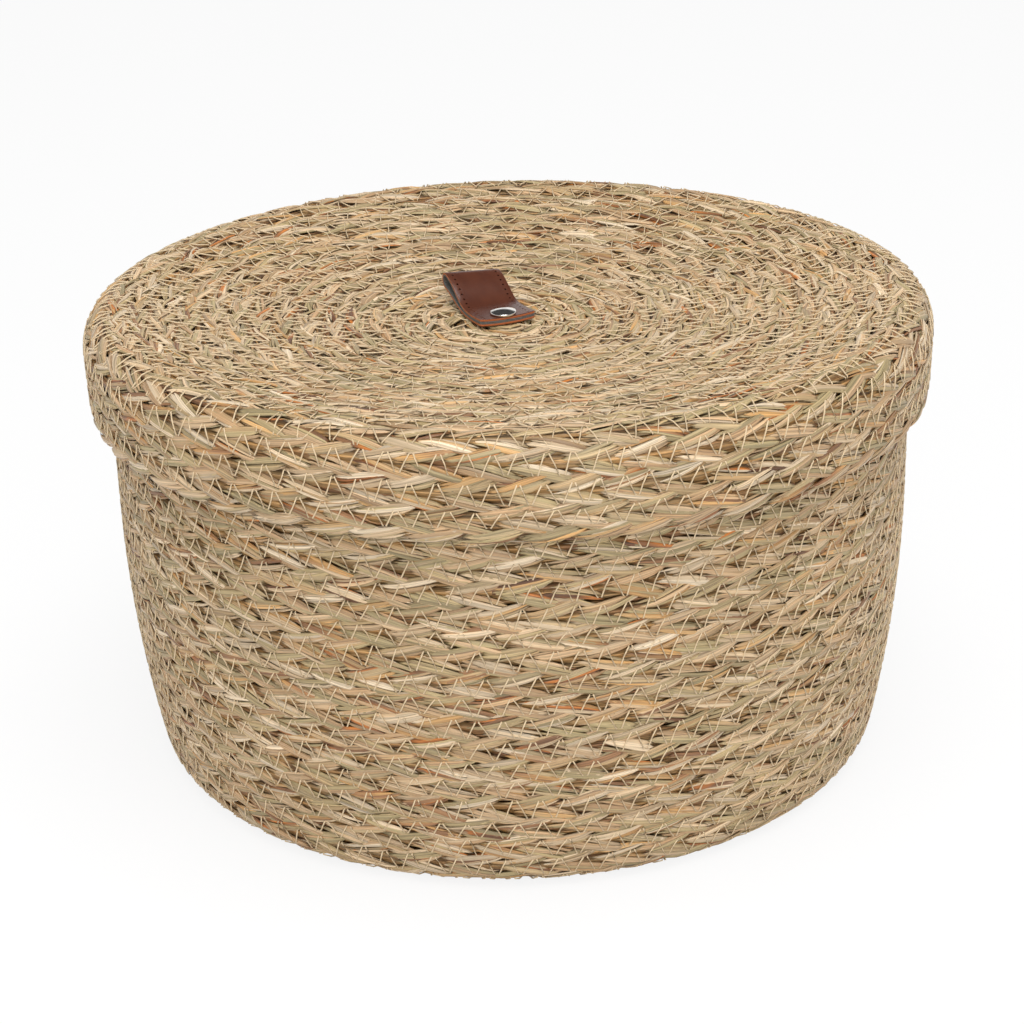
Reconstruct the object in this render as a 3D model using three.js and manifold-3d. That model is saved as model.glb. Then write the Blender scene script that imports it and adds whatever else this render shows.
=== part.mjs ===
// A round lidded box, coiled from a flat plait of seagrass and sewn course to course.
// Its lid fits over the rim and carries a folded leather tab, held by one rivet.
// Millimetres, +Z up. The origin is the middle of the underside.
import * as THREE from 'three';
import { mergeVertices } from 'three/addons/utils/BufferGeometryUtils.js';
import Module from 'manifold-3d';

const wasm = await Module();
wasm.setup();

// Plait: a course is one turn of it, seen as a soft ridge between two sewn seams
const plaitThickness = 4.8;
const seamDepth = 0.9; // a seam lies this far below the ridges beside it
const crownShares = [0.24, 0.76]; // a ridge is full between these shares of its course

// Basket
const bodyHeight = 161.6;
const footRadius = 131.8; // the wall's curve, carried down to the ground
const uprightHeight = 98; // the wall widens up to here and stands upright above
const footTurn = 6.6; // the lowest course leans in by this much
const footEdgeShare = 0.6; // where its outer face meets the ground
const footCrownShare = 0.05; // how far it still leans in at half its height
const wallCourses = 20;
const baseCourses = 15;

// Lid
const hemRadius = 149.8; // the skirt's lower edge
const shoulderRadius = 150.2; // the skirt where it turns in
const skirtDepth = 36.2;
const skirtCourses = 4;
const cornerTurn = 6.5; // from the shoulder in to the first seam on top
const cornerRise = 0.4; // the turning course stands this much above the top
const cornerShares = [[0.08, 0.5], [0.3, 0.14]]; // in from the shoulder, down from the top
const cornerCrestShare = 0.7;
const topCourses = 17;
const dishDepth = 12.8; // the top sags this much inside the rim

// Leather tab: one strap folded back on itself, both ends under the rivet
const strapWidth = 21.3;
const strapThickness = 1.1;
const strapFront = 4.3; // from the rivet to the cut ends
const strapBend = 8; // from the rivet to where the loop starts to lift
const loopReach = 27.6; // from the rivet to the middle of the fold
const loopRise = 7.9; // the middle of the fold over the lid
const foldRadius = 2.4; // the fold, at the middle of the leather
const foldTilt = THREE.MathUtils.degToRad(12);
const easeShare = 0.42; // how long the strap keeps its direction at each end of the loop
const tabTurn = THREE.MathUtils.degToRad(23.5);

// Rivet
const rivetOffset = -1.6; // the rivet missed the middle of the lid by this much
const postRadius = 1.5;
const capRadius = 4.7;
const capEdge = 0.9;
const capDome = 0.5;
const socketDepth = 0.9;
const flangeRadius = 4.6;
const flangeThickness = 0.8;

// Clearances
const seatGap = 0.3;
const skirtClearance = 2.6; // the lid sits loosely round the rim
const holeClearance = 0.3;

// Roundness
const coilSegments = 40;
const wallSteps = 6;
const rivetSegments = 24;
const dishSteps = 8;
const domeSteps = 5;
const strapSteps = 9;
const foldSteps = 7;

// Heights that follow from the sizes above
const lidTop = bodyHeight + seatGap + plaitThickness;
const hemHeight = lidTop - skirtDepth;
const wallPitch = bodyHeight / wallCourses;
const skirtPitch = skirtDepth / skirtCourses;

// Radii that follow from them
const rimRadius = hemRadius - plaitThickness - skirtClearance;
const footInnerRadius = footRadius - footTurn;
const baseRadius = footInnerRadius - seatGap;
const topSeamRadius = shoulderRadius - cornerTurn;
const topRadius = topSeamRadius - seatGap / 2;
const dishRadius = rimRadius - plaitThickness - seatGap;

// Materials
const seagrass = { color: 0xb5a27c, roughness: 0.85, metalness: 0 };
const paleSeagrass = { color: 0xbcaa86, roughness: 0.85, metalness: 0 };
const leather = { color: 0x5a3325, roughness: 0.55, metalness: 0 };
const nickel = { color: 0xc9c6c0, roughness: 0.22, metalness: 1 };

function point(radius, height) {
  return new THREE.Vector2(radius, height);
}

function piece(name, geometry, look) {
  const mesh = new THREE.Mesh(geometry, new THREE.MeshStandardMaterial(look));
  mesh.name = name;
  return mesh;
}

// A profile runs outwards along the underside, up the outside and back over the top
function turned(profile, segments) {
  const geometry = new THREE.LatheGeometry(profile, segments);
  geometry.rotateX(Math.PI / 2);
  return geometry;
}

function solidOf(geometry) {
  const bare = geometry.clone();
  bare.deleteAttribute('normal');
  bare.deleteAttribute('uv');
  const merged = mergeVertices(bare);
  return new wasm.Manifold(new wasm.Mesh({
    numProp: 3,
    vertProperties: new Float32Array(merged.attributes.position.array),
    triVerts: new Uint32Array(merged.index.array),
  }));
}

function geometryOf(solid) {
  const mesh = solid.getMesh();
  const geometry = new THREE.BufferGeometry();
  geometry.setAttribute('position', new THREE.BufferAttribute(mesh.vertProperties, 3));
  geometry.setIndex(new THREE.BufferAttribute(mesh.triVerts, 1));
  geometry.computeVertexNormals();
  return geometry;
}

// The ridges of a run of courses: surfaceAt(distance, depth) gives the point on the run
function ridges(surfaceAt, pitch, first, last) {
  const points = [];
  for (let course = first; course < last; course += 1) {
    for (const share of crownShares) {
      points.push(surfaceAt((course + share) * pitch, 0));
    }
    points.push(surfaceAt((course + 1) * pitch, seamDepth));
  }
  return points;
}

function wallRadiusAt(height) {
  const below = Math.max(1 - height / uprightHeight, 0);
  return rimRadius - (rimRadius - footRadius) * below * below;
}

function wallCoil() {
  const outside = (height, depth) => point(wallRadiusAt(height) - depth, height);
  const inside = [];
  for (let step = wallSteps; step >= 0; step -= 1) {
    const height = wallPitch + (bodyHeight - wallPitch) * step / wallSteps;
    inside.push(point(wallRadiusAt(height) - plaitThickness, height));
  }
  const profile = [
    point(footInnerRadius, 0),
    point(footRadius - footTurn * footEdgeShare, 0),
    point(footRadius - footTurn * footCrownShare, wallPitch / 2),
    outside(wallPitch, seamDepth),
    ...ridges(outside, wallPitch, 1, wallCourses),
    ...inside,
    point(footInnerRadius, plaitThickness - seamDepth),
    point(footInnerRadius, 0),
  ];
  return turned(profile, coilSegments);
}

function baseCoil() {
  const pitch = baseRadius / baseCourses;
  const top = [];
  for (let course = baseCourses; course > 0; course -= 1) {
    top.push(point(course * pitch, plaitThickness - seamDepth));
    top.push(point((course - 0.5) * pitch, plaitThickness));
  }
  const profile = [point(0, 0), point(baseRadius, 0), ...top, point(0, plaitThickness)];
  return turned(profile, coilSegments);
}

function topHeightAt(radius) {
  const share = Math.min(radius / dishRadius, 1);
  return lidTop - dishDepth * (1 - share * share);
}

const rivetSeat = topHeightAt(0); // the lid's upper face under the tab

function lidTopCoil() {
  const pitch = topRadius / topCourses;
  const upper = (distance, depth) => point(distance, topHeightAt(distance) - depth);
  const under = [];
  for (let step = 0; step <= dishSteps; step += 1) {
    const radius = dishRadius * step / dishSteps;
    under.push(point(radius, topHeightAt(radius) - plaitThickness));
  }
  under.push(point(topRadius, lidTop - plaitThickness));
  const over = ridges(upper, pitch, 0, topCourses).reverse();
  const profile = [...under, ...over, point(0, rivetSeat)];
  const hole = new THREE.CylinderGeometry(
    postRadius + holeClearance, postRadius + holeClearance, plaitThickness * 2, rivetSegments);
  hole.rotateX(Math.PI / 2);
  hole.translate(rivetOffset, 0, rivetSeat - plaitThickness / 2);
  return geometryOf(solidOf(turned(profile, coilSegments)).subtract(solidOf(hole)));
}

function lidSkirt() {
  const outside = (distance, depth) => {
    const radius = hemRadius + (shoulderRadius - hemRadius) * distance / skirtDepth;
    return point(radius - depth, hemHeight + distance);
  };
  const innerTop = lidTop - plaitThickness;
  const innerRadius = topSeamRadius + seatGap / 2;
  const profile = [
    point(hemRadius - plaitThickness, hemHeight),
    outside(0, seamDepth),
    ...ridges(outside, skirtPitch, 0, skirtCourses - 1),
    outside((skirtCourses - 1 + crownShares[0]) * skirtPitch, 0),
    ...cornerShares.map(([inward, down]) =>
      point(shoulderRadius - cornerTurn * inward, lidTop - skirtPitch * down)),
    point(shoulderRadius - cornerTurn * cornerCrestShare, lidTop + cornerRise),
    point(innerRadius, lidTop - seamDepth),
    point(innerRadius, innerTop),
    point(shoulderRadius - plaitThickness, innerTop),
    point(hemRadius - plaitThickness, hemHeight),
  ];
  return turned(profile, coilSegments);
}

// The tab's own frame: origin on the rivet's axis at the underside of the strap, +Y to the fold
const upperLayer = strapThickness + seatGap; // underside of the upper end

function strapEnd(underside) {
  const half = strapWidth / 2;
  const outline = new THREE.Shape([
    point(-half, -strapFront),
    point(half, -strapFront),
    point(half, strapBend - seatGap / 2),
    point(-half, strapBend - seatGap / 2),
  ]);
  const hole = new THREE.Path();
  hole.absarc(0, 0, postRadius + holeClearance, 0, Math.PI * 2, true);
  outline.holes.push(hole);
  const geometry = new THREE.ExtrudeGeometry(outline, {
    depth: strapThickness, bevelEnabled: false, curveSegments: rivetSegments });
  geometry.translate(0, 0, underside);
  return geometry;
}

// The loop's middle line, seen from the side: along the lower layer, round the fold and back
function loopLine() {
  const start = strapBend + seatGap / 2;
  const along = point(Math.cos(foldTilt), Math.sin(foldTilt));
  const across = point(-along.y, along.x).multiplyScalar(foldRadius);
  const centre = point(loopReach, loopRise);
  const lowFold = centre.clone().sub(across);
  const highFold = centre.clone().add(across);
  const ease = (loopReach - start) * easeShare;
  const lowStart = point(start, strapThickness / 2);
  const highStart = point(start, upperLayer + strapThickness / 2);
  const lower = new THREE.CubicBezierCurve(
    lowStart, point(start + ease, lowStart.y),
    lowFold.clone().addScaledVector(along, -ease), lowFold);
  const upper = new THREE.CubicBezierCurve(
    highFold, highFold.clone().addScaledVector(along, -ease),
    point(start + ease, highStart.y), highStart);
  const fold = [];
  for (let step = 1; step < foldSteps; step += 1) {
    const angle = foldTilt - Math.PI / 2 + Math.PI * step / foldSteps;
    fold.push(point(centre.x + foldRadius * Math.cos(angle), centre.y + foldRadius * Math.sin(angle)));
  }
  return [...lower.getPoints(strapSteps), ...fold, ...upper.getPoints(strapSteps)];
}

function strapLoop() {
  const line = loopLine();
  const outer = [];
  const inner = [];
  line.forEach((here, index) => {
    const before = line[Math.max(index - 1, 0)];
    const after = line[Math.min(index + 1, line.length - 1)];
    const along = after.clone().sub(before).normalize();
    if (here === line[0]) along.set(1, 0); // both cut faces stand upright at the bend
    if (here === line[line.length - 1]) along.set(-1, 0);
    const across = point(along.y, -along.x).multiplyScalar(strapThickness / 2);
    outer.push(here.clone().add(across));
    inner.push(here.clone().sub(across));
  });
  const outline = new THREE.Shape([...outer, ...inner.reverse()]);
  const geometry = new THREE.ExtrudeGeometry(outline, { depth: strapWidth, bevelEnabled: false });
  geometry.translate(0, 0, -strapWidth / 2);
  geometry.rotateY(Math.PI / 2);
  geometry.rotateX(Math.PI / 2);
  return geometry;
}

// Heights of the rivet's parts in the tab's frame
const capSeat = upperLayer + strapThickness + seatGap;

function rivetCap() {
  const dome = [];
  for (let step = 0; step <= domeSteps; step += 1) {
    const angle = Math.PI / 2 * step / domeSteps;
    dome.push(point(capRadius * Math.cos(angle), capSeat + capEdge + capDome * Math.sin(angle)));
  }
  const socketRadius = postRadius + holeClearance;
  const profile = [
    point(0, capSeat + socketDepth),
    point(socketRadius, capSeat + socketDepth),
    point(socketRadius, capSeat),
    point(capRadius, capSeat),
    ...dome.slice(0, -1),
    point(0, capSeat + capEdge + capDome),
  ];
  return turned(profile, rivetSegments);
}

function rivetPost() {
  const flangeTop = -seatGap - plaitThickness - seatGap;
  const profile = [
    point(0, flangeTop - flangeThickness),
    point(flangeRadius, flangeTop - flangeThickness),
    point(flangeRadius, flangeTop),
    point(postRadius, flangeTop),
    point(postRadius, capSeat + socketDepth - seatGap),
    point(0, capSeat + socketDepth - seatGap),
  ];
  return turned(profile, rivetSegments);
}

const group = new THREE.Group();

const basket = new THREE.Group();
basket.add(piece('base_coil', baseCoil(), seagrass));
basket.add(piece('wall_coil', wallCoil(), seagrass));
group.add(basket);

const lid = new THREE.Group();
lid.add(piece('lid_top', lidTopCoil(), paleSeagrass));
lid.add(piece('lid_skirt', lidSkirt(), seagrass));
group.add(lid);

const rivet = new THREE.Group();
rivet.position.set(rivetOffset, 0, rivetSeat + seatGap);
rivet.add(piece('rivet_cap', rivetCap(), nickel));
rivet.add(piece('rivet_post', rivetPost(), nickel));
lid.add(rivet);

const tab = new THREE.Group();
tab.position.copy(rivet.position);
tab.rotation.z = tabTurn;
tab.add(piece('tab_lower_end', strapEnd(0), leather));
tab.add(piece('tab_upper_end', strapEnd(upperLayer), leather));
tab.add(piece('tab_loop', strapLoop(), leather));
lid.add(tab);

export default group;
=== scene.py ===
import math

import bmesh
import bpy
import numpy as np
from mathutils import Matrix, Vector


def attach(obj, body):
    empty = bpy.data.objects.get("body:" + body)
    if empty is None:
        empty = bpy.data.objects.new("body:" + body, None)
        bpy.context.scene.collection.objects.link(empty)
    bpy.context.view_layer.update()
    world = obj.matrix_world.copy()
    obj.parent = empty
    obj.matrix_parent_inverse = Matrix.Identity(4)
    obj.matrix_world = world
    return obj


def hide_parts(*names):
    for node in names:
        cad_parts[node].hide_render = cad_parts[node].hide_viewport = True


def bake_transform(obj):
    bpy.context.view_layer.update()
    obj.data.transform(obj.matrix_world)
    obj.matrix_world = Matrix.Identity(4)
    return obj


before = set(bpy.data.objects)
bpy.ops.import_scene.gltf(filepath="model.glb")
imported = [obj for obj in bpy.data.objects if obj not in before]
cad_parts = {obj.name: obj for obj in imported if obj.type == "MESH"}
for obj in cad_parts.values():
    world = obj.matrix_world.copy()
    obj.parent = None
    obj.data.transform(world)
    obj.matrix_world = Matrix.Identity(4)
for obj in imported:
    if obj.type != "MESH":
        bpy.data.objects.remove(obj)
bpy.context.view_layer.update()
print("frame loaded")

scene = bpy.context.scene
scene.view_settings.view_transform = "Standard"
mm = 0.001


# Camera, at the photograph's view
view = dict(lens=86.66, away=0.9102, elevation=23.07, aimX=-0.00044, aimZ=0.07977, roll=-1.61)


def makeCamera():
    data = bpy.data.cameras.new("camera")
    data.sensor_width = 36
    data.lens = view["lens"]
    data.clip_end = 20
    camera = bpy.data.objects.new("camera", data)
    scene.collection.objects.link(camera)
    elevation = math.radians(view["elevation"])
    roll = math.radians(view["roll"])
    forward = Vector((0, math.cos(elevation), -math.sin(elevation)))
    right = Vector((1, 0, 0))
    up = right.cross(forward)
    tiltedRight = right * math.cos(roll) + up * math.sin(roll)
    tiltedUp = up * math.cos(roll) - right * math.sin(roll)
    turn = Matrix((tiltedRight, tiltedUp, -forward)).transposed().to_4x4()
    aim = Vector((view["aimX"], 0, view["aimZ"]))
    camera.matrix_world = Matrix.Translation(aim - forward * view["away"]) @ turn
    scene.camera = camera


makeCamera()
print("camera set")


# Small helpers for materials
def newMaterial(name, roughness=0.6, metallic=0.0, color=(0.5, 0.5, 0.5)):
    material = bpy.data.materials.new(name)
    material.use_nodes = True
    tree = material.node_tree
    shader = tree.nodes["Principled BSDF"]
    shader.inputs["Roughness"].default_value = roughness
    shader.inputs["Metallic"].default_value = metallic
    shader.inputs["Base Color"].default_value = (*color, 1)
    return material, tree, shader


def addNode(tree, kind, **settings):
    node = tree.nodes.new(kind)
    for key, value in settings.items():
        setattr(node, key, value)
    return node


def attributeOf(tree, name):
    return addNode(tree, "ShaderNodeAttribute", attribute_name=name).outputs["Fac"]


def rampOf(tree, value, stops):
    ramp = addNode(tree, "ShaderNodeValToRGB")
    elements = ramp.color_ramp.elements
    elements[0].position = stops[0][0]
    elements[0].color = (*rgb(*stops[0][1]), 1)
    elements[1].position = stops[-1][0]
    elements[1].color = (*rgb(*stops[-1][1]), 1)
    for position, color in stops[1:-1]:
        elements.new(position).color = (*rgb(*color), 1)
    tree.links.new(value, ramp.inputs["Fac"])
    return ramp.outputs["Color"]


def rgb(red, green, blue):
    # a colour as seen on screen, turned to the linear values that shaders use
    def linear(value):
        share = value / 255
        return share / 12.92 if share <= 0.04045 else ((share + 0.055) / 1.055) ** 2.4
    return linear(red), linear(green), linear(blue)


def noiseOf(tree, place, stretch, detail=2.0):
    scaled = addNode(tree, "ShaderNodeVectorMath", operation="MULTIPLY")
    scaled.inputs[1].default_value = stretch
    tree.links.new(place, scaled.inputs[0])
    noise = addNode(tree, "ShaderNodeTexNoise")
    noise.inputs["Scale"].default_value = 1.0
    noise.inputs["Detail"].default_value = detail
    tree.links.new(scaled.outputs["Vector"], noise.inputs["Vector"])
    return noise.outputs["Fac"]


def rangeOf(tree, value, low, high, toLow, toHigh):
    node = addNode(tree, "ShaderNodeMapRange")
    for key, number in (("From Min", low), ("From Max", high), ("To Min", toLow), ("To Max", toHigh)):
        node.inputs[key].default_value = number
    tree.links.new(value, node.inputs["Value"])
    return node.outputs["Result"]


def mathOf(tree, operation, first, second):
    node = addNode(tree, "ShaderNodeMath", operation=operation)
    for place, value in ((0, first), (1, second)):
        if isinstance(value, (int, float)):
            node.inputs[place].default_value = value
        else:
            tree.links.new(value, node.inputs[place])
    return node.outputs["Value"]


def shaded(tree, color, amount):
    node = addNode(tree, "ShaderNodeVectorMath", operation="SCALE")
    tree.links.new(color, node.inputs[0])
    tree.links.new(amount, node.inputs["Scale"])
    return node.outputs["Vector"]


def bumpOf(tree, shader, height, strength, distance):
    bump = addNode(tree, "ShaderNodeBump")
    bump.inputs["Strength"].default_value = strength
    bump.inputs["Distance"].default_value = distance
    tree.links.new(height, bump.inputs["Height"])
    tree.links.new(bump.outputs["Normal"], shader.inputs["Normal"])


# Seagrass: each blade carries bladeTone (which colour), bladeShade (how light) and
# bladeRun (metres along it)
grass = dict(
    tones=[(0.0, (226, 205, 174)), (0.05, (217, 193, 160)), (0.15, (210, 184, 148)), (0.3, (203, 170, 130)),
           (0.44, (188, 151, 110)), (0.55, (184, 160, 116)), (0.7, (172, 154, 112)), (0.83, (190, 164, 124)),
           (0.91, (206, 158, 98)), (0.94, (158, 114, 76)), (0.97, (132, 92, 60)), (0.985, (204, 124, 54)),
           (1.0, (108, 70, 42))],
    fibre=(30, 9, 60),      # how fine the fibres are along, across and from blade to blade
    # painted shade: fine dark streaks along the blades, for the shade in the slits between fibres
    paintedSlit=(14, 17, 60),
    blotch=(26, 0.6, 60),
    # a noise from its low to its high value gives this light, or moves the tone this far
    fibreLight=(0.32, 0.64, 0.7, 1.2), paintedSlitShade=(0.36, 0.47, 0.62, 1.0),
    blotchLight=(0.3, 0.7, 0.92, 1.08), blotchTone=(0.3, 0.7, -0.06, 0.04),
    # painted shade: each blade darkens towards its edges, standing in for the shade between blades
    paintedEdgeShade=(0.0, 0.18, 0.42, 1.0),
    faceMiddle=0.375,       # where the middle of a blade's face lies, round its section
    relief=(0.6, 0.2 * mm),
    roughness=0.45,
)


def grassMaterial():
    material, tree, shader = newMaterial("seagrass", grass["roughness"])
    tone = attributeOf(tree, "bladeTone")
    uv = addNode(tree, "ShaderNodeSeparateXYZ")
    tree.links.new(addNode(tree, "ShaderNodeUVMap", uv_map="UVMap").outputs["UV"], uv.inputs[0])
    place = addNode(tree, "ShaderNodeCombineXYZ")
    tree.links.new(attributeOf(tree, "bladeRun"), place.inputs["X"])
    tree.links.new(uv.outputs["Y"], place.inputs["Y"])
    tree.links.new(tone, place.inputs["Z"])
    fibre = noiseOf(tree, place.outputs["Vector"], grass["fibre"], 3.0)
    # this noise paints the shade of fine slits along each blade
    paintedSlit = noiseOf(tree, place.outputs["Vector"], grass["paintedSlit"])
    blotch = noiseOf(tree, place.outputs["Vector"], grass["blotch"])

    moved = mathOf(tree, "ADD", tone, rangeOf(tree, blotch, *grass["blotchTone"]))
    color = rampOf(tree, moved, grass["tones"])
    # painted shade: a blade is painted darker towards its rolled edges, for the dark lines where
    # neighbouring blades shade each other
    edge = mathOf(tree, "PINGPONG", uv.outputs["Y"], grass["faceMiddle"])
    light = rangeOf(tree, fibre, *grass["fibreLight"])
    for factor in (rangeOf(tree, edge, *grass["paintedEdgeShade"]), rangeOf(tree, paintedSlit, *grass["paintedSlitShade"]),
                   attributeOf(tree, "bladeShade"), rangeOf(tree, blotch, *grass["blotchLight"])):
        light = mathOf(tree, "MULTIPLY", light, factor)
    tree.links.new(shaded(tree, color, light), shader.inputs["Base Color"])
    bumpOf(tree, shader, fibre, *grass["relief"])
    return material


def threadMaterial():
    # two fine plies twisted together
    material, tree, shader = newMaterial("sewingThread", 0.55)
    uv = addNode(tree, "ShaderNodeUVMap", uv_map="UVMap")
    twist = addNode(tree, "ShaderNodeTexWave", bands_direction="DIAGONAL")
    twist.inputs["Scale"].default_value = 3.0
    tree.links.new(uv.outputs["UV"], twist.inputs["Vector"])
    color = rampOf(tree, twist.outputs["Fac"], [(0.1, (208, 183, 145)), (0.7, (228, 206, 171))])
    tree.links.new(color, shader.inputs["Base Color"])
    bumpOf(tree, shader, twist.outputs["Fac"], 0.3, 0.1 * mm)
    return material


seagrass = grassMaterial()
sewingThread = threadMaterial()


# The plait and the two coils that it makes: one line for the basket and one for the lid, seen from the side
plait = dict(
    thickness=4.8 * mm,
    lobe=8.35 * mm,        # along the plait from one lobe to the next, which lies on the other side
    uneven=0.25,           # how much that varies
    reach=10.5 * mm,       # half of a lobe's length, with the ends that dive under
    edge=3.5 * mm,         # a lobe comes out at the seam, this far across from the plait's middle,
    cross=4.7 * mm,        # and goes this far across,
    bow=1.25,              # a little more of it towards its end
    spread=1.7 * mm,       # half the width of a strand
    gather=0.45,           # how much narrower it is at its end
    # how high it lies in its middle, at the seam and at its end
    face=1.8 * mm, rim=1.2 * mm, under=0.95 * mm,
    rise=(0.55, 0.45), dive=(0.35, 0.7),    # from where and over how much of half a lobe it gets there
    crown=0.35 * mm,       # how much lower its outer blades lie
    valley=0.5 * mm,       # how deep the seams lie
    bank=(2.6 * mm, 1.6 * mm),      # from where across the plait slopes into the seam, and over what width
    past=1.2,              # both run on past their end by this factor
    roll=(0.3, 0.45),      # how far the blades turn, at the sides of a strand and at the seam
    climbShare=0.4,        # the share of a turn over which the plait climbs to the next course
)
# The free edge at the hem and the rim, where the strands turn over: from how many turns before the end and
# over what share of a turn, from where across and over what width, how much lower and how far turned
freeEdge = dict(turns=1.1, share=0.2, start=2.4 * mm, width=2.2 * mm, drop=0.8, roll=0.5)
basketShape = dict(footRadius=124.5 * mm, footTurn=(130 * mm, 2.4 * mm), wallFoot=10.5 * mm,
                   rim=(140 * mm, 159.6 * mm), upright=98 * mm, lean=10.6 * mm, courses=36)
lidShape = dict(centre=151.5 * mm, edge=164.3 * mm, flat=137.3 * mm, turnStart=141 * mm,
                turn=(146.2 * mm, 164.4 * mm), turnEnd=(147.9 * mm, 157 * mm), hem=(147.2 * mm, 132.4 * mm),
                courses=21)
# The courses wander a little: how far, over what length of the line, how many times a turn
wander = [(0.45 * mm, 4.1 * mm, 2), (0.32 * mm, 2.9 * mm, -3), (0.25 * mm, 7.0 * mm, 5)]
steady = dict(start=30 * mm, end=16 * mm)       # but hardly near the middle and near the free edge
detail = dict(wall=30, dish=40, turn=16, line=600, course=360, past=0.2)


def bezier(start, control, end, count):
    share = np.linspace(0, 1, count)[:, None]
    start, control, end = np.array(start), np.array(control), np.array(end)
    return (1 - share) ** 2 * start + 2 * share * (1 - share) * control + share ** 2 * end


def basketLine():
    # the wall widens up to a height and stands upright above it
    half = plait["thickness"] / 2
    rimRadius, rimHeight = basketShape["rim"]
    height = np.linspace(basketShape["wallFoot"], rimHeight, detail["wall"])
    below = np.clip(1 - height / basketShape["upright"], 0, 1)
    wall = np.column_stack([rimRadius - basketShape["lean"] * below ** 2, height])
    turn = bezier((basketShape["footRadius"], half), basketShape["footTurn"], wall[0], detail["turn"])
    return np.vstack([[(0, half)], turn, wall[1:]])


def lidLine():
    radius = np.linspace(0, lidShape["flat"], detail["dish"])
    sag = lidShape["edge"] - lidShape["centre"]
    dish = np.column_stack([radius, lidShape["centre"] + sag * (radius / lidShape["flat"]) ** 2])
    turn = bezier((lidShape["turnStart"], lidShape["edge"]), lidShape["turn"], lidShape["turnEnd"],
                  detail["turn"])
    return np.vstack([dish, turn, [lidShape["hem"]]])


def coilOf(line, side, courses):
    # side is 1 where the outer face is on the left of the line, and -1 where it is on the right
    step = np.diff(line, axis=0)
    length = np.concatenate([[0], np.cumsum(np.hypot(step[:, 0], step[:, 1]))])
    even = np.linspace(0, length[-1], detail["line"])
    radius = np.interp(even, length, line[:, 0])
    height = np.interp(even, length, line[:, 1])
    coil = dict(even=even, radius=radius, height=height, side=side, total=length[-1],
                outR=-side * np.gradient(height, even), outZ=side * np.gradient(radius, even),
                pitch=length[-1] / courses, courses=courses)
    turns = np.linspace(-detail["past"], courses + detail["past"], courses * detail["course"])
    x, y, z, _ = onCoil(coil, turns, 0, 0)
    coil["turns"] = turns
    coil["run"] = np.concatenate([[0], np.cumsum(np.sqrt(np.diff(x) ** 2 + np.diff(y) ** 2
                                                         + np.diff(z) ** 2))])
    return coil


def ease(share):
    share = np.clip(share, 0, 1)
    return share * share * (3 - 2 * share)


def climb(turns):
    # the plait keeps level most of the way round and climbs to its next course over the back
    nearest = np.floor(turns + 0.5)
    return nearest - 1 + ease((turns - nearest) / plait["climbShare"] + 0.5)


def onCoil(coil, turns, across, out):
    # the point that lies across from the plait's middle and out from it; whole turns are at the back
    level = climb(turns)
    low = np.maximum(level, 0)
    high = np.minimum(level + 1, coil["courses"])
    angle = turns * 2 * np.pi + np.pi / 2
    along = (low + high) / 2 * coil["pitch"] + across * np.maximum(high - low, 0)
    calm = np.clip(np.minimum(along / steady["start"], (coil["total"] - along) / steady["end"]), 0, 1)
    for far, length, times in wander:
        along = along + far * calm * np.sin(along / length + times * angle + times)
    radius = np.interp(along, coil["even"], coil["radius"])
    height = np.interp(along, coil["even"], coil["height"])
    outR = np.interp(along, coil["even"], coil["outR"])
    outZ = np.interp(along, coil["even"], coil["outZ"])
    far = radius + outR * out
    return np.cos(angle) * far, np.sin(angle) * far, height + outZ * out, np.arctan2(outR, outZ)


def layLobes(coil, seed):
    # the strands show in turn on the upper and the lower side of the plait
    draw = np.random.default_rng(seed)
    steps = draw.uniform(1 - plait["uneven"], 1 + plait["uneven"], int(coil["run"][-1] / plait["lobe"]))
    coil["lobes"] = np.cumsum(steps) / steps.sum() * coil["run"][-1]
    coil["sides"] = np.where(np.arange(len(steps)) % 2, 1, -1)
    return coil


basket = layLobes(coilOf(basketLine(), -1, basketShape["courses"]), 1)
lid = layLobes(coilOf(lidLine(), 1, lidShape["courses"]), 2)
print("plait", round(basket["run"][-1], 2), "m in the basket,", round(lid["run"][-1], 2), "m in the lid")


def sectionOf(name, points):
    curve = bpy.data.curves.new(name, "CURVE")
    curve.dimensions = "2D"
    spline = curve.splines.new("POLY")
    spline.points.add(len(points) - 1)
    for point, (x, y) in zip(spline.points, points):
        point.co = (x, y, 0, 1)
    spline.use_cyclic_u = True
    return bpy.data.objects.new(name, curve)


def ribbonCurve(name, section):
    curve = bpy.data.curves.new(name, "CURVE")
    curve.dimensions = "3D"
    curve.twist_mode = "Z_UP"
    curve.bevel_mode = "OBJECT"
    curve.bevel_object = section
    return curve


def addRibbon(curve, x, y, z, tilt, size):
    spline = curve.splines.new("POLY")
    count = len(x)
    spline.points.add(count - 1)
    spline.points.foreach_set("co", np.column_stack([x, y, z, np.ones(count)]).astype(np.float32).ravel())
    spline.points.foreach_set("tilt", np.asarray(tilt, np.float32))
    spline.points.foreach_set("radius", np.asarray(size, np.float32))
    spline.use_smooth = True


def meshFromCurve(name, curve, values):
    # values holds, for each attribute, one number for each point along the ribbons
    around = len(curve.bevel_object.data.splines[0].points)
    holder = bpy.data.objects.new(name, curve)
    scene.collection.objects.link(holder)
    mesh = bpy.data.meshes.new_from_object(holder.evaluated_get(bpy.context.evaluated_depsgraph_get()))
    bpy.data.objects.remove(holder)
    for key, numbers in values.items():
        attribute = mesh.attributes.new(key, "FLOAT", "POINT")
        attribute.data.foreach_set("value", np.repeat(np.ravel(numbers).astype(np.float32), around))
    piece = bmesh.new()
    piece.from_mesh(mesh)
    bmesh.ops.remove_doubles(piece, verts=piece.verts, dist=2e-6)
    piece.to_mesh(mesh)
    print(name, sum(len(face.verts) - 2 for face in piece.faces), "triangles")
    piece.free()
    mesh.name = name
    result = bpy.data.objects.new(name, mesh)
    scene.collection.objects.link(result)
    return result


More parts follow.
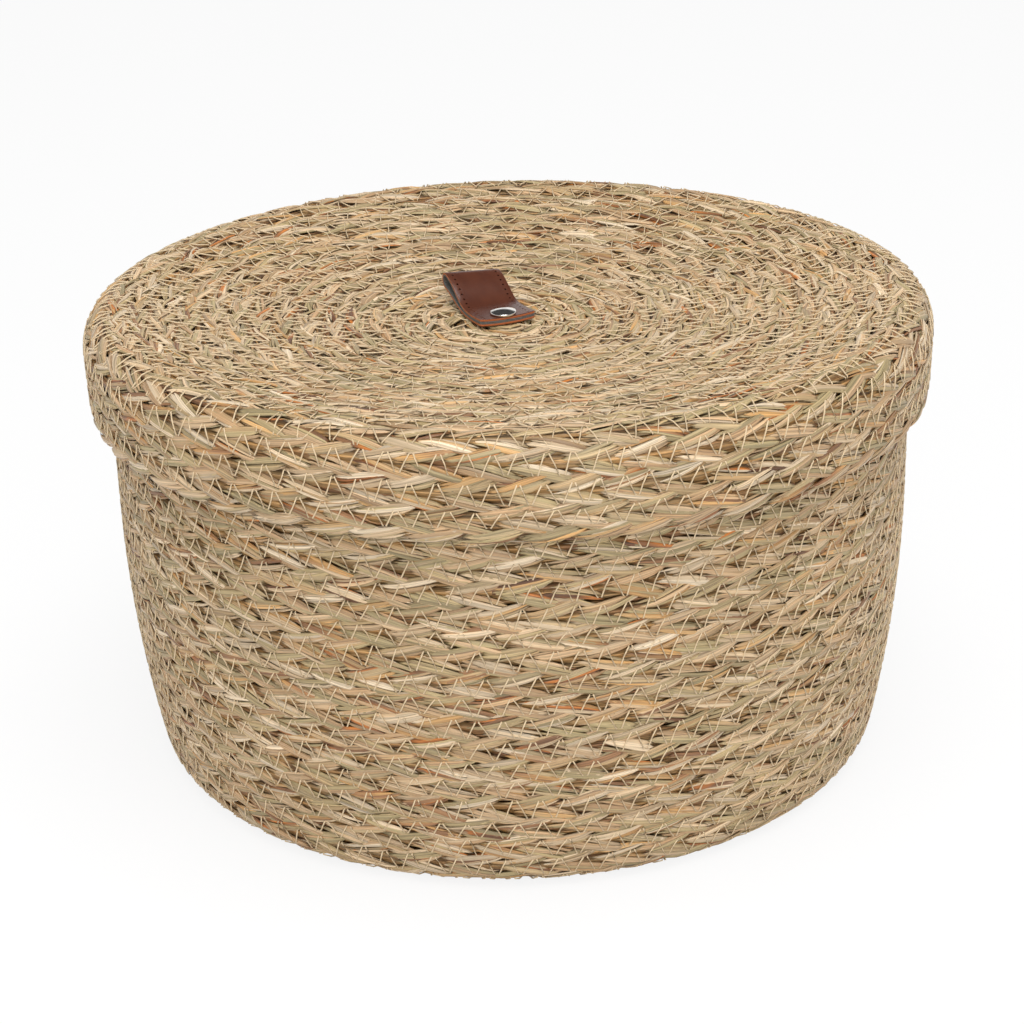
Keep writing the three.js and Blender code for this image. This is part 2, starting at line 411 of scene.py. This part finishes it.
# Blades: the sections are cut square to the blade, flat on the face and rolled at the edges
blade = dict(
    width=1.75 * mm, thickness=0.4 * mm,
    widths=(0.5, 1.35), lengths=(0.8, 1.18), shift=(-0.3, 0.04),    # how much they vary
    leaf=(2.6, 0.75),       # how its width falls off towards its ends
    rolled=0.6,             # the share of its width that is flat
    inner=1.4,              # how much wider the blades are that lie inside the plait
    slant=0.01 * mm,        # so that no two points of a blade meet where the coil starts
    same=0.3,               # the share of blades that have the tone of the blade beside them
    runs=3,                 # each one's pattern starts somewhere in so many metres
)
# How far single blades stray: sideways in their strand, in a bend, at a slant, outwards and in their turn
stray = dict(place=0.3, bend=0.3 * mm, waves=1.9, phase=6.3, slant=0.6 * mm, lift=0.16 * mm, roll=0.16)
halfWidth, halfThickness = blade["width"] / 2, blade["thickness"] / 2
flatHalf, innerHalf = halfWidth * blade["rolled"], halfWidth * blade["inner"]
outerSection = sectionOf("outerSection", [(-halfWidth, -halfThickness), (-flatHalf, halfThickness),
                                          (flatHalf, halfThickness), (halfWidth, -halfThickness)])
innerSection = sectionOf("innerSection", [(-innerHalf, halfThickness), (innerHalf, halfThickness),
                                          (0, -halfThickness)])
# face is 1 outside and -1 inside, where the strands run back the other way
outside = dict(face=1, blades=7, points=8, loose=1, shades=(0.74, 1.12), section=outerSection)
# painted light: the lid's blades are painted lighter than the wall's, for the light that falls on the lid
# from above
lidOutside = dict(face=1, blades=8, points=7, loose=2, shades=(0.82, 1.2), section=outerSection)
under = dict(face=1, blades=4, points=7, loose=1, shades=(0.74, 1.12), section=outerSection)
inside = dict(face=-1, blades=3, points=5, loose=1, shades=(0.74, 1.12), section=innerSection)


def makePlait(name, coil, firstTurn, lastTurn, kind, seed):
    # one stretch of the plait, lobe by lobe: each blade is a leaf with both ends under its neighbours
    draw = np.random.default_rng(seed)
    first, last = np.interp([firstTurn, lastTurn], coil["turns"], coil["run"])
    chosen = (coil["lobes"] >= first) & (coil["lobes"] < last)
    middles, sides = (coil[key][chosen][:, None, None] for key in ("lobes", "sides"))
    blades, loose = kind["blades"], kind["loose"]

    def vary(low, high):
        return draw.uniform(low, high, (len(middles), blades, 1))

    def strayed(key):
        return vary(-stray[key], stray[key])

    along = np.linspace(-1, 1, kind["points"])
    place = np.linspace(-1, 1, blades)[None, :, None] + strayed("place")
    share = along * vary(*blade["lengths"]) + vary(*blade["shift"])
    here = middles + kind["face"] * plait["reach"] * share
    ends = ease((share - plait["dive"][0]) / plait["dive"][1])
    starts = ease((-share - plait["rise"][0]) / plait["rise"][1])
    across = plait["edge"] - plait["cross"] * np.clip((share + 1) / 2, 0, plait["past"]) ** plait["bow"]
    across += place * plait["spread"] * (1 - plait["gather"] * np.clip(share, 0, 1) ** 2)
    across += (stray["bend"] * np.sin(stray["waves"] * along + vary(0, stray["phase"]))
               + share * strayed("slant")) * loose
    seam = np.clip((np.abs(across) - plait["bank"][0]) / plait["bank"][1], 0, plait["past"])
    out = plait["face"] + strayed("lift") * loose - plait["crown"] * place ** 2
    out = out - plait["valley"] * seam ** 2
    out = out - (plait["face"] - plait["under"]) * ends - (plait["face"] - plait["rim"]) * starts
    turn = sides * (plait["roll"][0] * place + plait["roll"][1] * seam) + strayed("roll") * loose
    turns = np.interp(here, coil["run"], coil["turns"])
    free = ease((turns - coil["courses"] + freeEdge["turns"]) / freeEdge["share"]) * (sides > 0)
    over = np.clip((across - freeEdge["start"]) / freeEdge["width"], 0, 1)
    out *= 1 - freeEdge["drop"] * free * over ** 2
    turn = turn + free * sides * freeEdge["roll"] * over
    x, y, z, lean = onCoil(coil, turns, sides * across, kind["face"] * out)
    z = z + blade["slant"] * along
    tilt = lean + kind["face"] * coil["side"] * turn
    width = vary(*blade["widths"]) * (1 - np.abs(along) ** blade["leaf"][0]) ** blade["leaf"][1]

    curve = ribbonCurve(name, kind["section"])
    for lobe in range(len(middles)):
        for number in range(blades):
            addRibbon(curve, *(values[lobe, number] for values in (x, y, z, tilt, width)))
    tone, shade = draw.uniform(0, 1, (len(middles), blades, 1)), vary(*kind["shades"])
    same = draw.uniform(0, 1, (len(middles), blades - 1, 1)) < blade["same"]
    tone[:, 1:] = np.where(same, tone[:, :-1], tone[:, 1:])
    flat = np.ones(kind["points"])
    piece = meshFromCurve(name, curve, dict(bladeTone=tone * flat, bladeShade=shade * flat,
                                            bladeRun=kind["face"] * here + vary(0, blade["runs"])))
    piece.data.materials.append(seagrass)
    return piece


# Plain blades laid straight through the plait, seen only between the strands
filling = dict(
    places=[(-3.2, 0.7), (-1, 0.35), (1, 0.35), (3.2, 0.7), (4.15, 0.8)],    # across and out, in mm
    seam=3 * mm,            # those that lie further across than this are in a seam
    free=0.9,               # turns before the end from which there is no seam
    lengths=(90 * mm, 260 * mm), lap=12 * mm, taper=7 * mm, step=8 * mm, size=1.15,
    sway=(0.3 * mm, 23 * mm), swell=(0.2 * mm, 19 * mm),    # how far they wave, and over what length
    # partly painted shade: this brown is partly the under-blades' own colour and partly painted warm shade
    # for the gaps between strands
    tones=(0.89, 0.94), shades=(0.8, 1),
)


def makeFilling(name, coil, firstTurn, lastTurn, seed):
    draw = np.random.default_rng(seed)
    first, last = np.interp([firstTurn, lastTurn], coil["turns"], coil["run"])
    lastSeam = np.interp(coil["courses"] - filling["free"], coil["turns"], coil["run"])
    curve = ribbonCurve(name, innerSection)
    tones, shades, runs = [], [], []
    for across0, out0 in np.array(filling["places"]) * mm:
        start = first
        end = lastSeam if across0 > filling["seam"] else last
        while start < end:
            high = min(start + draw.uniform(*filling["lengths"]), end)
            here = np.linspace(start, high, int((high - start) / filling["step"]) + 3)
            start = high - filling["lap"] if high < end else end
            swayed, swelled = draw.uniform(0, 2 * np.pi, 2)
            across = across0 + filling["sway"][0] * np.sin(here / filling["sway"][1] + swayed)
            out = out0 + filling["swell"][0] * np.sin(here / filling["swell"][1] + swelled)
            x, y, z, lean = onCoil(coil, np.interp(here, coil["run"], coil["turns"]), across, out)
            toEnd = np.minimum(here - here[0], high - here)
            addRibbon(curve, x, y, z, lean, filling["size"] * np.clip(toEnd / filling["taper"], 0, 1))
            tones.append(np.full(len(here), draw.uniform(*filling["tones"])))
            shades.append(np.full(len(here), draw.uniform(*filling["shades"])))
            runs.append(here + draw.uniform(0, blade["runs"]))
    piece = meshFromCurve(name, curve, dict(bladeTone=np.concatenate(tones),
                                            bladeShade=np.concatenate(shades),
                                            bladeRun=np.concatenate(runs)))
    piece.data.materials.append(seagrass)
    return piece


def dress(piece, body, slot, *nodes):
    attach(piece, body)
    if nodes:
        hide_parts(*nodes)


# name, coil, first and last turn, kind, body, node
plaits = [("wall_plait_%d" % (number + 1), basket, 16 + 4 * number, 20 + 4 * number,
           outside, "basket", "wall_coil") for number in range(4)]
plaits += [
    ("wall_plait_5", basket, 32, 36.18, outside, "basket", "wall_coil"),
    ("wall_inside", basket, 16, 36.18, inside, "basket", "wall_coil"),
    ("base_plait", basket, 0, 16, under, "basket", "base_coil"),
    ("base_inside", basket, 0, 16, inside, "basket", "base_coil"),
    ("lid_plait_1", lid, 0, 10, lidOutside, "lid", "lid_top"),
    ("lid_plait_2", lid, 10, 14, lidOutside, "lid", "lid_top"),
    ("lid_plait_3", lid, 14, 17, lidOutside, "lid", "lid_top"),
    ("lid_inside", lid, 0, 17, inside, "lid", "lid_top"),
    ("skirt_plait", lid, 17, 21.18, outside, "lid", "lid_skirt"),
    ("skirt_inside", lid, 17, 21.18, inside, "lid", "lid_skirt"),
]
for number, (name, coil, first, last, kind, body, node) in enumerate(plaits):
    dress(makePlait(name, coil, first, last, kind, 100 + number), body, "seagrass_plait", node)
dress(makeFilling("basket_filling", basket, 0, 36.18, 60), "basket", "seagrass_plait",
      "wall_coil", "base_coil")
dress(makeFilling("lid_filling", lid, 0, 21.18, 61), "lid", "seagrass_plait", "lid_top", "lid_skirt")
print("plaits made")


# The sewing thread: zigzag stitches over the seam between each course and the next
thread = dict(
    radius=0.3 * mm, leg=4.05 * mm,
    outer=2.3 * mm, inner=-2.0 * mm,    # how far out from the plait's middle the stitches lie
    gap=0.12,                           # the share of a leg that is left between two of them
    outerShares=(0, 0.08, 0.5, 0.92, 1), innerShares=(0, 0.1, 0.9, 1),   # the points of a stitch
    past=0.02, sag=0.14, sunk=0.45,     # its ends run on into the plait, and its middle sags
)
evenSewing = dict(reach=(2.9 * mm, 3.8 * mm), uneven=0.13)
wildSewing = dict(reach=(2.8 * mm, 5 * mm), uneven=0.3)     # on top of the lid
threadSection = sectionOf("threadSection", [
    (thread["radius"] * math.sin(angle), thread["radius"] * math.cos(angle))
    for angle in (0, 2 * math.pi / 3, 4 * math.pi / 3)])


def makeThread(name, coil, firstTurn, lastTurn, out, sewing, seed):
    draw = np.random.default_rng(seed)
    first, last = np.interp([firstTurn, lastTurn], coil["turns"], coil["run"])
    curve = ribbonCurve(name, threadSection)
    count = int((last - first) / thread["leg"])
    moved = draw.uniform(-1, 1, count + 1) * sewing["uneven"]
    marks = first + (np.arange(count + 1) + moved) * thread["leg"]
    sides = np.where(np.arange(count + 1) % 2, 1, -1) * draw.uniform(*sewing["reach"], count + 1)
    gaps = draw.uniform(0.5, 1.5, (count + 1, 2)) * thread["gap"]
    reach = np.array(thread["outerShares"] if out > 0 else thread["innerShares"])
    seen = (reach > 0) & (reach < 1)
    for number in range(count):
        nearShare, farShare = gaps[number][0], 1 - gaps[number][1]
        share = nearShare + (farShare - nearShare) * (reach * (1 + 2 * thread["past"]) - thread["past"])
        here = marks[number] + (marks[number + 1] - marks[number]) * share
        across = coil["pitch"] / 2 + sides[number] + (sides[number + 1] - sides[number]) * reach
        rise = out * (1 - thread["sag"] * np.sin(np.pi * reach)) * np.where(seen, 1, thread["sunk"])
        turns = np.interp(here, coil["run"], coil["turns"])
        x, y, z, lean = onCoil(coil, turns, across, rise)
        addRibbon(curve, x, y, z, lean, np.where(seen, 1, 0))
    piece = meshFromCurve(name, curve, {})
    piece.data.materials.append(sewingThread)
    return piece


for number, (name, coil, first, last, out, sewing, body) in enumerate([
        ("basket_thread", basket, 0.6, 35.1, thread["outer"], evenSewing, "basket"),
        ("basket_thread_inside", basket, 0.6, 35.1, thread["inner"], evenSewing, "basket"),
        ("lid_thread", lid, 0.6, 16.6, thread["outer"], wildSewing, "lid"),
        ("skirt_thread", lid, 16.6, 20.1, thread["outer"], evenSewing, "lid"),
        ("lid_thread_inside", lid, 0.6, 20.1, thread["inner"], evenSewing, "lid")]):
    dress(makeThread(name, coil, first, last, out, sewing, 70 + number), body, "sewing_thread")
print("seams sewn")


def finished(name, piece, *materials):
    bmesh.ops.recalc_face_normals(piece, faces=piece.faces)
    mesh = bpy.data.meshes.new(name)
    piece.to_mesh(mesh)
    piece.free()
    for material in materials:
        mesh.materials.append(material)
    result = bpy.data.objects.new(name, mesh)
    scene.collection.objects.link(result)
    return result


# The tab: a strap of leather and its lining, cut and punched flat and then folded under the rivet
tab = dict(
    width=21.3 * mm, leather=0.85 * mm, lining=0.45 * mm, corner=0.7 * mm,
    front=4.3 * mm, bend=8.15 * mm, reach=27.6 * mm, rise=7.9 * mm, foldRadius=2.4 * mm, foldTilt=12,
    upper=1.34 * mm,         # the underside of the upper end over the underside of the lower one
    easeShare=0.42, turn=23.5, place=Vector((-1.6, 0, 154.2)) * mm,
    twist=0.09,              # the fold's left side stands higher than its right
    curl=0.7 * mm, curlLength=11 * mm,      # the corners of the cut ends turn up
    grid=(12, 90), steps=400,
    overlap=0.03 * mm,       # the lining is glued into the leather
    bends=(6 * mm, 11 * mm),    # from where to where behind the rivet the real strap bends if it is lifted
    holeRadius=0.42 * mm, holeTaper=(0.6, 1.3), holeDepth=0.75 * mm, holeInset=2.1 * mm, holeStep=2.35 * mm,
)
strapHalf = (tab["leather"] + tab["lining"]) / 2


def cubic(start, first, second, end, count):
    share = np.linspace(0, 1, count)[:, None]
    rest = 1 - share
    start, first, second, end = (np.array(point) for point in (start, first, second, end))
    return (rest ** 3 * start + 3 * rest ** 2 * share * first + 3 * rest * share ** 2 * second
            + share ** 3 * end)


def strapLine():
    # the strap's middle seen from the side: along the lid, round the fold and back over itself
    tilt = math.radians(tab["foldTilt"])
    along = np.array([math.cos(tilt), math.sin(tilt)])
    across = np.array([-along[1], along[0]]) * tab["foldRadius"]
    centre = np.array([tab["reach"], tab["rise"]])
    bend, base, top = tab["bend"], strapHalf, tab["upper"] + strapHalf
    glide = (tab["reach"] - bend) * tab["easeShare"]
    lower = cubic((bend, base), (bend + glide, base), centre - across - along * glide, centre - across, 30)
    upper = cubic(centre + across, centre + across - along * glide, (bend + glide, top), (bend, top), 30)
    angles = np.linspace(tilt - np.pi / 2, tilt + np.pi / 2, 16)[1:-1]
    fold = centre + tab["foldRadius"] * np.column_stack([np.cos(angles), np.sin(angles)])
    line = np.vstack([[(-tab["front"], base)], lower, fold, upper, [(-tab["front"], top)]])
    step = np.diff(line, axis=0)
    length = np.concatenate([[0], np.cumsum(np.hypot(step[:, 0], step[:, 1]))])
    even = np.linspace(0, length[-1], tab["steps"])
    return even, np.interp(even, length, line[:, 0]), np.interp(even, length, line[:, 1])


def flatStrap(low, high, length):
    # a flat strip with its corners and edges eased; z is the depth, and the face is up
    piece = bmesh.new()
    bmesh.ops.create_grid(piece, x_segments=tab["grid"][0], y_segments=tab["grid"][1], size=0.5,
                          matrix=Matrix.Translation((0, length / 2, low))
                          @ Matrix.Diagonal((tab["width"], length, 1, 1)))
    raised = bmesh.ops.extrude_face_region(piece, geom=list(piece.faces))["geom"]
    bmesh.ops.translate(piece, verts=[v for v in raised if isinstance(v, bmesh.types.BMVert)],
                        vec=(0, 0, high - low))
    bmesh.ops.recalc_face_normals(piece, faces=piece.faces)
    corners = [edge for edge in piece.edges if abs(edge.verts[0].co.z - edge.verts[1].co.z) > 1e-6
               and edge.calc_face_angle() > 1]
    bmesh.ops.bevel(piece, geom=corners, offset=tab["corner"], offset_type="OFFSET", affect="EDGES",
                    segments=3, profile=0.5, material=-1)
    rims = [edge for edge in piece.edges if edge.calc_face_angle() > 1]
    bmesh.ops.bevel(piece, geom=rims, offset=(high - low) * 0.25, offset_type="OFFSET", affect="EDGES",
                    segments=2, profile=0.5, material=-1)
    return piece


def punched(strap, length):
    # stitch holes along both edges, cut with a row of round punches
    punch = bmesh.new()
    bottomRadius, topRadius = (tab["holeRadius"] * factor for factor in tab["holeTaper"])
    for side in (-1, 1):
        for place in np.arange(tab["holeInset"], length - tab["holeInset"] / 2, tab["holeStep"]):
            spot = (side * (tab["width"] / 2 - tab["holeInset"]), place, strapHalf)
            bmesh.ops.create_cone(punch, cap_ends=True, segments=10, radius1=bottomRadius,
                                  radius2=topRadius, depth=2 * tab["holeDepth"],
                                  matrix=Matrix.Translation(spot))
    cutter = finished("punch", punch)
    cut = strap.modifiers.new("holes", "BOOLEAN")
    cut.object = cutter
    cut.operation = "DIFFERENCE"
    cut.solver = "EXACT"
    mesh = bpy.data.meshes.new_from_object(strap.evaluated_get(bpy.context.evaluated_depsgraph_get()))
    strap.modifiers.clear()
    strap.data = mesh
    bpy.data.objects.remove(cutter)
    piece = bmesh.new()
    piece.from_mesh(mesh)
    bmesh.ops.triangulate(piece, faces=[face for face in piece.faces if len(face.verts) > 4])
    for edge in piece.edges:
        edge.smooth = edge.calc_face_angle(0) < 0.6
    piece.to_mesh(mesh)
    piece.free()


def foldStrap(piece, line):
    # each point of the flat strap goes to its place along the line, and keeps where it was as strapPlace
    even, lineY, lineZ = line
    mesh = piece.data
    flat = np.zeros(len(mesh.vertices) * 3)
    mesh.vertices.foreach_get("co", flat)
    flat = flat.reshape(-1, 3)
    keep = mesh.attributes.new("strapPlace", "FLOAT_VECTOR", "POINT")
    keep.data.foreach_set("vector", flat.astype(np.float32).ravel())
    slopeY, slopeZ = np.gradient(lineY, even), np.gradient(lineZ, even)
    x, s, depth = flat.T
    y = np.interp(s, even, lineY) + np.interp(s, even, slopeZ) * depth
    z = np.interp(s, even, lineZ) - np.interp(s, even, slopeY) * depth
    lifted = np.clip((y - tab["bend"] / 2) / tab["reach"], 0, 1)
    z = z + tab["twist"] * x * lifted
    end = np.clip(1 - (y + tab["front"]) / tab["curlLength"], 0, 1) ** 2
    z = z + tab["curl"] * (np.abs(x) / (tab["width"] / 2)) ** 2.5 * end
    turn = math.radians(tab["turn"])
    placed = np.column_stack([-x * math.cos(turn) - y * math.sin(turn),
                              -x * math.sin(turn) + y * math.cos(turn), z])
    mesh.vertices.foreach_set("co", (placed + np.array(tab["place"])).ravel())
    mesh.update()
    for polygon in mesh.polygons:
        polygon.use_smooth = True


leather = dict(
    face=(94, 51, 34), faceDark=(78, 40, 27), rawEdge=(168, 92, 52), hole=(40, 22, 16), rough=0.27,
    lining=(116, 112, 106), liningDark=(72, 70, 68),
    skin=(0.16 * mm, 0.08 * mm),        # the finished face ends between these depths
    margin=(1.2 * mm, 1.4 * mm),        # a cut edge is seen outside these, and a hole inside them
    grain=1900, cloud=(120, 70, 120), creases=(700, 1500, 700), nap=(2600, 2600, 2600),
)


def leatherMaterial(length):
    material, tree, shader = newMaterial("tabLeather", leather["rough"])
    flat = addNode(tree, "ShaderNodeAttribute", attribute_name="strapPlace").outputs["Vector"]
    grain = addNode(tree, "ShaderNodeTexVoronoi", feature="DISTANCE_TO_EDGE")
    grain.inputs["Scale"].default_value = leather["grain"]
    tree.links.new(flat, grain.inputs["Vector"])
    cloud = noiseOf(tree, flat, leather["cloud"], 3.0)
    creases = noiseOf(tree, flat, leather["creases"])
    face = rampOf(tree, cloud, [(0.3, leather["faceDark"]), (0.7, leather["face"])])
    depth = addNode(tree, "ShaderNodeSeparateXYZ")
    tree.links.new(flat, depth.inputs[0])
    # under the finished face the leather is raw and orange, and the bottom of a punched hole is painted dark
    # as painted shade
    skinLow, skinHigh = (strapHalf - far for far in leather["skin"])
    raw = rangeOf(tree, depth.outputs["Z"], skinLow, skinHigh, 1.0, 0.0)
    mixed = addNode(tree, "ShaderNodeMix", data_type="RGBA")
    tree.links.new(raw, mixed.inputs["Factor"])
    tree.links.new(face, mixed.inputs[6])
    mixed.inputs[7].default_value = (*rgb(*leather["rawEdge"]), 1)
    # painted shade: below the face, inside a punched hole, the colour is painted dark
    holeShadeMix = addNode(tree, "ShaderNodeMix", data_type="RGBA")
    sideways = mathOf(tree, "ABSOLUTE", depth.outputs["X"], 0)
    lengthways = mathOf(tree, "ABSOLUTE", mathOf(tree, "SUBTRACT", depth.outputs["Y"], length / 2), 0)
    near, far = leather["margin"]
    within = mathOf(tree, "MULTIPLY",
                    rangeOf(tree, sideways, tab["width"] / 2 - near, tab["width"] / 2 - far, 0.0, 1.0),
                    rangeOf(tree, lengthways, length / 2 - near, length / 2 - far, 0.0, 1.0))
    tree.links.new(mathOf(tree, "MULTIPLY", raw, within), holeShadeMix.inputs["Factor"])
    tree.links.new(mixed.outputs[2], holeShadeMix.inputs[6])
    holeShadeMix.inputs[7].default_value = (*rgb(*leather["hole"]), 1)
    tree.links.new(holeShadeMix.outputs[2], shader.inputs["Base Color"])
    height = mathOf(tree, "ADD", mathOf(tree, "MULTIPLY", creases, 0.6),
                    rangeOf(tree, grain.outputs["Distance"], 0, 0.2, 0, 0.5))
    bumpOf(tree, shader, height, 0.25, 0.1 * mm)
    return material


def liningMaterial():
    material, tree, shader = newMaterial("tabLining", 0.85)
    flat = addNode(tree, "ShaderNodeAttribute", attribute_name="strapPlace").outputs["Vector"]
    nap = noiseOf(tree, flat, leather["nap"], 4.0)
    color = rampOf(tree, nap, [(0.3, leather["liningDark"]), (0.7, leather["lining"])])
    tree.links.new(color, shader.inputs["Base Color"])
    bumpOf(tree, shader, nap, 0.7, 0.2 * mm)
    return material


def makeTab():
    line = strapLine()
    length = line[0][-1]
    glued = strapHalf - tab["leather"]
    face = finished("tab_strap", flatStrap(glued, strapHalf, length), leatherMaterial(length))
    punched(face, length)
    backing = finished("tab_lining", flatStrap(-strapHalf, glued + tab["overlap"], length), liningMaterial())
    for piece, slot in ((face, "tab_leather"), (backing, "tab_lining")):
        foldStrap(piece, line)
        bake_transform(piece)
        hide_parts("tab_lower_end", "tab_upper_end", "tab_loop")


makeTab()
print("tab folded")


# The rivet: a domed cap over the tab, polished, and the post that the CAD holds
rivet = dict(radius=4.7 * mm, seat=157.08 * mm, edge=0.9 * mm, dome=0.75 * mm, round=0.35 * mm, tilt=1.5,
             steps=64)


def nickelMaterial():
    material, tree, shader = newMaterial("nickel", 0.14, 1.0, rgb(240, 237, 232))
    place = addNode(tree, "ShaderNodeTexCoord").outputs["Object"]
    rubbed = noiseOf(tree, place, (500, 500, 500), 3.0)
    tree.links.new(rangeOf(tree, rubbed, 0.3, 0.7, 0.08, 0.22), shader.inputs["Roughness"])
    return material


def makeRivet():
    radius, seat, soft = rivet["radius"], rivet["seat"], rivet["round"]
    profile = [(0, seat), (radius - soft / 2, seat), (radius, seat + soft / 2)]
    for angle in np.linspace(0, 80, 7):
        share = math.radians(angle)
        profile.append((radius - soft + soft * math.cos(share),
                        seat + rivet["edge"] - soft + soft * math.sin(share)))
    for share in np.linspace(0.88, 0, 9):
        profile.append(((radius - soft) * share, seat + rivet["edge"] + rivet["dome"] * (1 - share * share)))
    piece = bmesh.new()
    points = [piece.verts.new((x, 0, z)) for x, z in profile]
    edges = [piece.edges.new(pair) for pair in zip(points, points[1:])]
    bmesh.ops.spin(piece, geom=points + edges, cent=(0, 0, 0), axis=(0, 0, 1), angle=2 * math.pi,
                   steps=rivet["steps"], use_merge=True)
    bmesh.ops.remove_doubles(piece, verts=piece.verts, dist=1e-6)
    # the leather that rises behind the rivet tips its cap forward
    bmesh.ops.rotate(piece, verts=piece.verts, cent=(0, 0, seat),
                     matrix=Matrix.Rotation(math.radians(rivet["tilt"]), 3, "X"))
    bmesh.ops.translate(piece, verts=piece.verts, vec=(tab["place"].x, 0, 0))
    for face in piece.faces:
        face.smooth = True
    nickel = nickelMaterial()
    dress(finished("rivet_dome", piece, nickel), "lid", "nickel", "rivet_cap")
    post = bpy.data.objects["rivet_post"]
    for place in post.material_slots:
        place.material = nickel


makeRivet()
print("rivet set")


# Floor, lamps and background
stage = dict(
    floor=0.9, paleShare=0.85, world=0.63,
    ceiling=(0.38, 0.46), ceilingLight=0.05,    # how high the studio's white ends, and what is above it
    overhead=dict(place=(0.12, -0.4, 1.65), aim=(0, 0, 0.1), size=1, power=15),
    front=dict(place=(0.05, -1.6, 0.9), aim=(0, 0, 0.08), size=0.9, power=9.5),
)


def makeStage():
    piece = bmesh.new()
    bmesh.ops.create_grid(piece, x_segments=1, y_segments=1, size=4)
    floor = finished("floor", piece)
    material, tree, shader = newMaterial("paleFloor", 0.8, color=(stage["floor"],) * 3)
    shader.inputs["Specular IOR Level"].default_value = 0.1
    # seen straight on, the floor is near white and keeps the soft shadow
    path = addNode(tree, "ShaderNodeLightPath")
    glow = addNode(tree, "ShaderNodeEmission")
    mixed = addNode(tree, "ShaderNodeMixShader")
    tree.links.new(mathOf(tree, "MULTIPLY", path.outputs["Is Camera Ray"], stage["paleShare"]),
                   mixed.inputs["Fac"])
    tree.links.new(shader.outputs["BSDF"], mixed.inputs[1])
    tree.links.new(glow.outputs["Emission"], mixed.inputs[2])
    tree.links.new(mixed.outputs["Shader"], tree.nodes["Material Output"].inputs["Surface"])
    floor.data.materials.append(material)

    world = bpy.data.worlds.new("studio")
    scene.world = world
    world.use_nodes = True
    tree = world.node_tree
    background = tree.nodes["Background"]
    background.inputs["Color"].default_value = (1, 1, 1, 1)
    path = addNode(tree, "ShaderNodeLightPath")
    seen = mathOf(tree, "MAXIMUM", path.outputs["Is Camera Ray"], path.outputs["Is Glossy Ray"])
    seen = mathOf(tree, "MAXIMUM", seen, path.outputs["Is Transmission Ray"])
    # reflections see the studio white up to a good third of its height, and dark above
    height = addNode(tree, "ShaderNodeSeparateXYZ")
    tree.links.new(addNode(tree, "ShaderNodeTexCoord").outputs["Generated"], height.inputs[0])
    ceiling = rangeOf(tree, height.outputs["Z"], *stage["ceiling"], 1.0, stage["ceilingLight"])
    strength = addNode(tree, "ShaderNodeMix", data_type="FLOAT")
    strength.inputs[2].default_value = stage["world"]
    tree.links.new(seen, strength.inputs["Factor"])
    tree.links.new(ceiling, strength.inputs[3])
    tree.links.new(strength.outputs[0], background.inputs["Strength"])


def makeLamp(name, place, aim, size, power):
    data = bpy.data.lights.new(name, "AREA")
    data.shape = "DISK"
    data.size = size
    data.energy = power
    lamp = bpy.data.objects.new(name, data)
    scene.collection.objects.link(lamp)
    lamp.location = place
    lamp.rotation_euler = (Vector(aim) - Vector(place)).to_track_quat("-Z", "Y").to_euler()


makeStage()
makeLamp("overhead", **stage["overhead"])
makeLamp("front", **stage["front"])
print("stage set")
